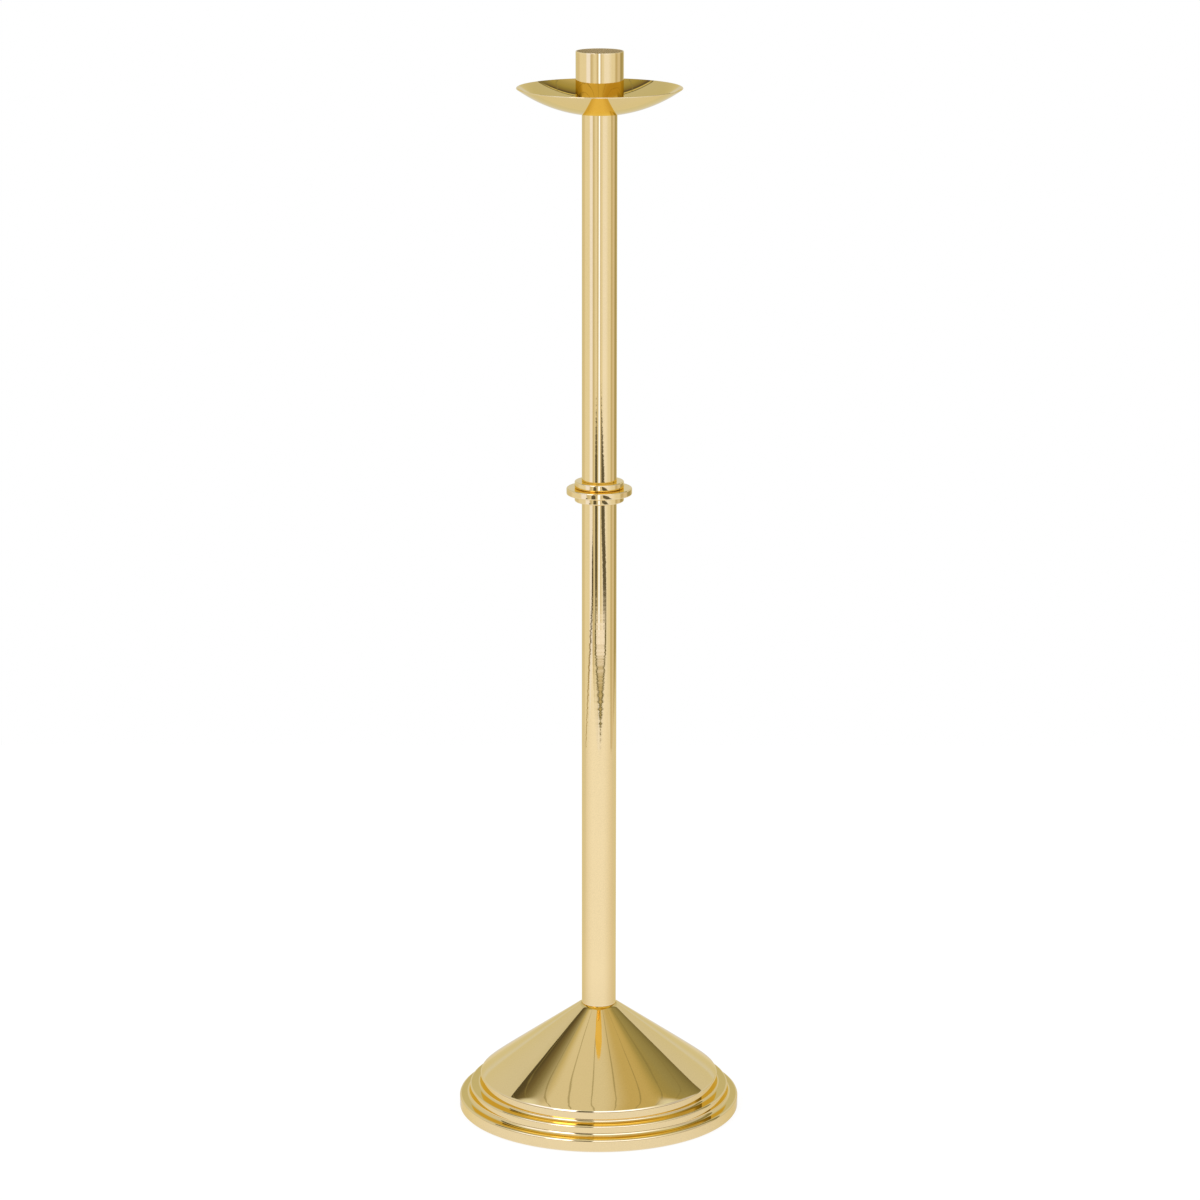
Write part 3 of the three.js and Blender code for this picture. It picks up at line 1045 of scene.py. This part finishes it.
@dataclass(frozen=True)
class Studio:
    """The room that the polished brass mirrors: pale walls with gaps, and a seamed ceiling.

    Lift is the elevation in degrees. Across and back are measured on the ceiling, in its own
    heights, and depth is how far a spot of it lies before the back wall.
    """

    wall: Colour = (0.73, 0.76, 0.84)
    back_wall: Colour = (0.62, 0.64, 0.60)
    low_back_wall: Colour = (0.75, 0.83, 1.22)
    dusk: Colour = (0.62, 0.57, 0.46)
    cream: Colour = (0.88, 0.90, 0.98)
    tan: Colour = (0.69, 0.66, 0.60)
    pale: Colour = (0.99, 1.05, 1.42)
    bright: Colour = (1.01, 1.11, 1.75)
    lamp: Colour = (1.25, 1.6, 3.1)
    linen: Colour = (0.76, 0.73, 0.74)
    sand: Colour = (0.44, 0.41, 0.30)
    gap: Colour = (0.09, 0.08, 0.05)
    outline: Colour = (0.15, 0.14, 0.045)
    far_line: Colour = (0.36, 0.28, 0.12)
    flame: Colour = (0.58, 0.53, 0.38)
    flame_top: Colour = (1.08, 1.15, 1.70)
    horizon: Colour = (0.27, 0.23, 0.14)
    low_side: Colour = (0.60, 0.56, 0.45)
    low_front: Colour = (0.80, 0.84, 1.2)
    panel: Colour = (3.2, 3.4, 5.5)
    strip: Colour = (1.9, 2.2, 4.0)
    side_strip: Colour = (1.4, 1.6, 3.0)
    plain: Colour = (1.0, 1.0, 1.0)
    side: Colour = (0.60, 0.62, 0.80)
    ceiling: Colour = (0.77, 0.77, 0.77)
    warm_ceiling: Colour = (0.61, 0.53, 0.30)
    front_ceiling: Colour = (0.87, 0.96, 1.05)
    seam: Colour = (0.28, 0.26, 0.14)
    seam_spacing: float = 0.228
    ambient: Colour = (0.9, 0.9, 0.9)
    low_walls: Row = (
        (wall, -180, -140), (linen, -119), (cream, -106, -70), (bright, -63, -48),
        (tan, -43, -37), (cream, -27, -17), (linen, -14), (dusk, -9), (cream, -6),
        (lamp, -3.6, 1.6), (linen, 4, 8), (cream, 12, 17), (pale, 24, 42), (cream, 62, 75),
        (dusk, 84, 90), (linen, 98, 111), (sand, 119, 138), (wall, 160, 180),
    )
    middle_depths: Row = (
        ((0.13, 0.13, 0.10), 0.0, 0.024), ((0.70, 0.65, 0.36), 0.034, 0.074),
        ((0.12, 0.105, 0.08), 0.088), ((0.13, 0.11, 0.08), 0.135), ((0.24, 0.19, 0.08), 0.17),
        ((0.30, 0.27, 0.11), 0.24), ((0.40, 0.355, 0.13), 0.32), ((0.455, 0.415, 0.20), 0.44),
        ((0.57, 0.52, 0.29), 0.55),
    )
    left_depths: Row = (
        ((0.095, 0.085, 0.055), 0.0), ((0.11, 0.095, 0.06), 0.15), ((0.14, 0.12, 0.075), 0.19),
        ((0.18, 0.155, 0.09), 0.28), ((0.27, 0.255, 0.17), 0.39), ((0.37, 0.355, 0.28), 0.45),
        ((0.46, 0.46, 0.39), 0.49), ((0.59, 0.58, 0.56), 0.56), ((0.66, 0.64, 0.58), 0.65),
    )
    right_depths: Row = (
        ((0.20, 0.18, 0.11), 0.0), ((0.25, 0.24, 0.14), 0.14), ((0.315, 0.30, 0.175), 0.33),
        ((0.355, 0.34, 0.20), 0.5), ((0.40, 0.366, 0.185), 0.68), ((0.51, 0.445, 0.215), 0.76),
        ((0.60, 0.53, 0.30), 0.84),
    )

    def panel_row(self, left: Colour, right: Colour) -> Row:
        """The tones round the bright panel in front, by bearing.

        Args:
            left: the tone left of the panel.
            right: the tone from the middle on.

        Returns:
            The row.
        """
        return ((self.wall, -180, -84), (left, -70, -45.5), (self.panel, -44, -23.5),
                (self.gap, -22, -6), (right, -4.5, 38), (self.cream, 64), (self.side, 80),
                (self.wall, 180))

    def front_gaps(self, bench: NodeBench, walls: Value, bearing: Value, lift: Value,
                   wobble: Value) -> Socket:
        """The dark gaps between the front walls, which close towards the floor.

        Args:
            bench: the world's node bench.
            walls: the walls' tone so far.
            bearing: in degrees.
            lift: elevation in degrees.
            wobble: an uneven number round 0.

        Returns:
            The tone with the gaps.
        """
        # The two gaps, which widen downwards
        grown = bench.step(lift, -10.3, -12.4)
        half = bench.scaled(wobble, 6.0, bench.scaled(grown, 13.5, -1.8))
        centre = bench.scaled(grown, 15.5, 9.0)
        centre = bench.scaled(bench.step(lift, -12.3, -13.6), 13.0, centre)
        right = bench.product(bench.band(bearing, centre, half), bench.step(lift, -14.3, -13.4))
        half = bench.scaled(bench.step(lift, -10.5, -11.8), 10.0, -2.5)
        half = bench.scaled(wobble, 2.0, half)
        left = bench.product(bench.band(bearing, -20.5, half), bench.step(lift, -14.2, -13.4))
        dark = bench.product(bench.math("MAXIMUM", right, left), 0.95)
        toned = bench.mix(dark, walls, self.gap)

        # The flame below them, with its outline and the pale floor outside it
        half = bench.math("MINIMUM", bench.scaled(lift, 33.0, 504.5), 34.0)
        half = bench.scaled(wobble, 4.0, half)
        beyond = bench.math("SUBTRACT", bench.off(bearing, 9.0), half)
        low = bench.step(lift, -13.7, -14.1)
        inside = bench.product(bench.step(beyond, 1.0, -1.0), low)
        core = bench.mix(bench.step(lift, -14.1, -14.8), self.flame_top, self.flame)
        toned = bench.mix(inside, toned, core)
        outside = bench.product(bench.step(beyond, -1.0, 1.0), bench.step(lift, -14.4, -15.6))
        near_front = bench.step(bench.math("ABSOLUTE", bearing), 100.0, 50.0)
        toned = bench.mix(bench.product(outside, near_front), toned, self.pale)
        outline = bench.product(bench.band(beyond, 0.0, 5.2), low)
        toned = bench.mix(outline, toned, self.outline)

        # The line on the left, which drifts outwards
        drift = bench.math("MAXIMUM", bench.math("SUBTRACT", -13.6, lift), 0.0)
        centre = bench.scaled(drift, -28.0, -45.0)
        half = bench.scaled(bench.step(lift, -12.4, -13.2), 7.0, -2.0)
        half = bench.scaled(bench.step(lift, -14.2, -15.6), -2.5, half)
        line = bench.product(bench.band(bearing, centre, half), bench.step(lift, -15.9, -15.6))
        line_tone = bench.mix(bench.step(lift, -13.9, -14.5), self.gap, self.far_line)
        return bench.mix(line, toned, line_tone)

    def front_panels(self, bench: NodeBench, tone: Value, bearing: Value,
                     lift: Value) -> Socket:
        """The dark line over the horizon in front, and the bright panels above it.

        Args:
            bench: the world's node bench.
            tone: the tone so far.
            bearing: in degrees.
            lift: elevation in degrees.

        Returns:
            The tone with the panels.
        """
        sideways = bench.math("ABSOLUTE", bearing)
        front = bench.product(bench.step(sideways, 112.0, 100.0), bench.step(lift, 60.0, 50.0))
        horizon = bench.mix(bench.step(sideways, 100.0, 60.0), self.low_side, self.horizon)
        panels, strips = (bench.row(bearing, BEARINGS, self.panel_row(*tones)) for tones in (
            (self.cream, self.plain), (self.side_strip, self.strip)))
        for start, end, level in (
                (-0.6, 0.6, horizon), (9.0, 10.5, self.low_front), (15.0, 16.5, panels),
                (25.0, 27.0, strips), (41.0, 44.0, self.front_ceiling)):
            rising = bench.product(bench.step(lift, start, end), front)
            tone = bench.mix(rising, tone, level)
        return tone

    def ceiling_tones(self, bench: NodeBench, across: Value, back: Value) -> Socket:
        """The ceiling over the object: pale, seamed, and dark before the back wall's top.

        Args:
            bench: the world's node bench.
            across: to the right, in heights of the ceiling.
            back: to the back, in heights of the ceiling.

        Returns:
            The tone.
        """
        spot = bench.pair(across, back)
        wobble = bench.math("SUBTRACT", bench.noise(spot, 6.0, 3.0), 0.5)
        seam = bench.scaled(wobble, 0.1, across)
        seam = bench.scaled(seam, 1.0 / self.seam_spacing, 0.277)
        seam = bench.off(bench.math("FRACT", seam), 0.5)
        seams = bench.product(bench.step(seam, 0.455, 0.485), 0.6)

        beyond = bench.math("MAXIMUM", bench.math("SUBTRACT", -0.6, across), 0.0)
        edge = bench.scaled(beyond, -0.25, bench.scaled(across, 0.22, 0.85))
        depth = bench.math("SUBTRACT", edge, back)
        middle, left, right = (bench.row(depth, DEPTHS, tones) for tones in (
            self.middle_depths, self.left_depths, self.right_depths))
        on_left = bench.product(bench.step(across, -0.46, -0.54), bench.step(depth, 0.75, 0.62))
        tone = bench.mix(bench.step(across, 0.02, 0.32), self.ceiling, self.warm_ceiling)
        for share, part in (
                (bench.step(depth, 0.66, 0.50), middle), (on_left, left),
                (bench.step(across, 0.42, 0.60), right), (seams, self.seam),
                (bench.step(back, -0.5, -0.9), self.front_ceiling)):
            tone = bench.mix(share, tone, part)

        aside = bench.step(bench.math("ABSOLUTE", across), 0.6, 0.95)
        wall = bench.mix(aside, self.back_wall, self.wall)
        wall = bench.mix(bench.step(back, 3.0, 4.4), wall, self.low_back_wall)
        return bench.mix(bench.step(depth, 0.004, -0.004), tone, wall)

    def build(self) -> None:
        """Makes the world."""
        world = bpy.data.worlds.new("studio")
        bpy.context.scene.world = world
        world.use_nodes = True
        bench = NodeBench(world.node_tree)
        way = bench.node("TexCoord").outputs["Generated"]
        right, away, up = bench.node("SeparateXYZ", {0: way}).outputs
        bearing = bench.bearing(right, away)
        lift = bench.math("DEGREES", bench.math("ARCSINE", up))
        uneven = bench.noise(bench.pair(bearing, lift), 4.0, 3.0)
        wobble = bench.math("SUBTRACT", uneven, 0.5)
        walls = bench.row(bearing, BEARINGS, self.low_walls)
        walls = bench.mix(bench.step(lift, 0.0, 4.0), walls, self.wall)
        walls = self.front_gaps(bench, walls, bearing, lift, wobble)
        height = bench.math("MAXIMUM", up, 0.03)
        ceiling = self.ceiling_tones(bench, bench.math("DIVIDE", right, height),
                                     bench.math("DIVIDE", away, height))
        tone = bench.mix(bench.step(lift, 4.0, 14.0), walls, ceiling)
        tone = bench.after_two_mirrors(self.front_panels(bench, tone, bearing, lift))
        to_camera, mirrored = bench.rays()
        plain = bench.mix(to_camera, self.ambient, self.plain)
        background = bench.node("Background", {"Color": bench.mix(mirrored, plain, tone)})
        bench.node("OutputWorld", {"Surface": background.outputs[0]})


@dataclass(frozen=True)
class Lamp:
    """One soft lamp that casts the shadow and isn't mirrored."""

    name: str
    place: tuple[float, float, float]
    size: float
    power: float

    def build(self) -> None:
        """Hangs the lamp, aimed at the middle of the frame's box."""
        data = bpy.data.lights.new(self.name, "AREA")
        data.shape = "DISK"
        data.size = self.size
        data.energy = self.power
        lamp = bpy.data.objects.new(self.name, data)
        bpy.context.scene.collection.objects.link(lamp)
        lamp.location = self.place
        aim = (CAD_LOW + CAD_HIGH) / 2 - lamp.location
        lamp.rotation_euler = aim.to_track_quat("-Z", "Y").to_euler()
        lamp.visible_glossy = False


@dataclass(frozen=True)
class Camera:
    """The photograph's view, fitted to seven of its ellipses. Lengths are in metres."""

    distance: float = 4.5128
    height: float = 1.6759
    pitch: float = 13.6
    roll: float = 0.06
    focal_px: float = 4234.0
    frame_px: float = 1200.0
    side: float = 0.0009

    def build(self) -> None:
        """Sets up the camera."""
        data = bpy.data.cameras.new("camera")
        data.sensor_width = 36.0
        data.lens = data.sensor_width * self.focal_px / self.frame_px
        camera = bpy.data.objects.new("camera", data)
        bpy.context.scene.collection.objects.link(camera)
        camera.location = (self.side, -self.distance, self.height)
        level = Euler((math.radians(90.0 - self.pitch), 0.0, 0.0)).to_quaternion()
        camera.rotation_mode = "QUATERNION"
        camera.rotation_quaternion = level @ Quaternion((0, 0, 1), math.radians(self.roll))
        bpy.context.scene.camera = camera


def main() -> None:
    """Builds the studio and every piece."""
    logging.basicConfig(level=logging.INFO, format="%(name)s: %(message)s")
    bpy.context.scene.view_settings.view_transform = "Standard"
    Camera().build()
    Floor().build()
    Studio().build()
    for lamp in (Lamp("key_lamp", (-1.6, -1.8, 2.6), 1.4, 26.0),
                 Lamp("fill_lamp", (1.9, -1.2, 2.2), 1.6, 14.0)):
        lamp.build()
    for part in (Base(), Stem(), DripPan(), CandleCup(), HiddenParts()):
        part.build()
        LOG.info("%s built", type(part).__name__)
    deselect_all()


if __name__ == "__main__":
    main()
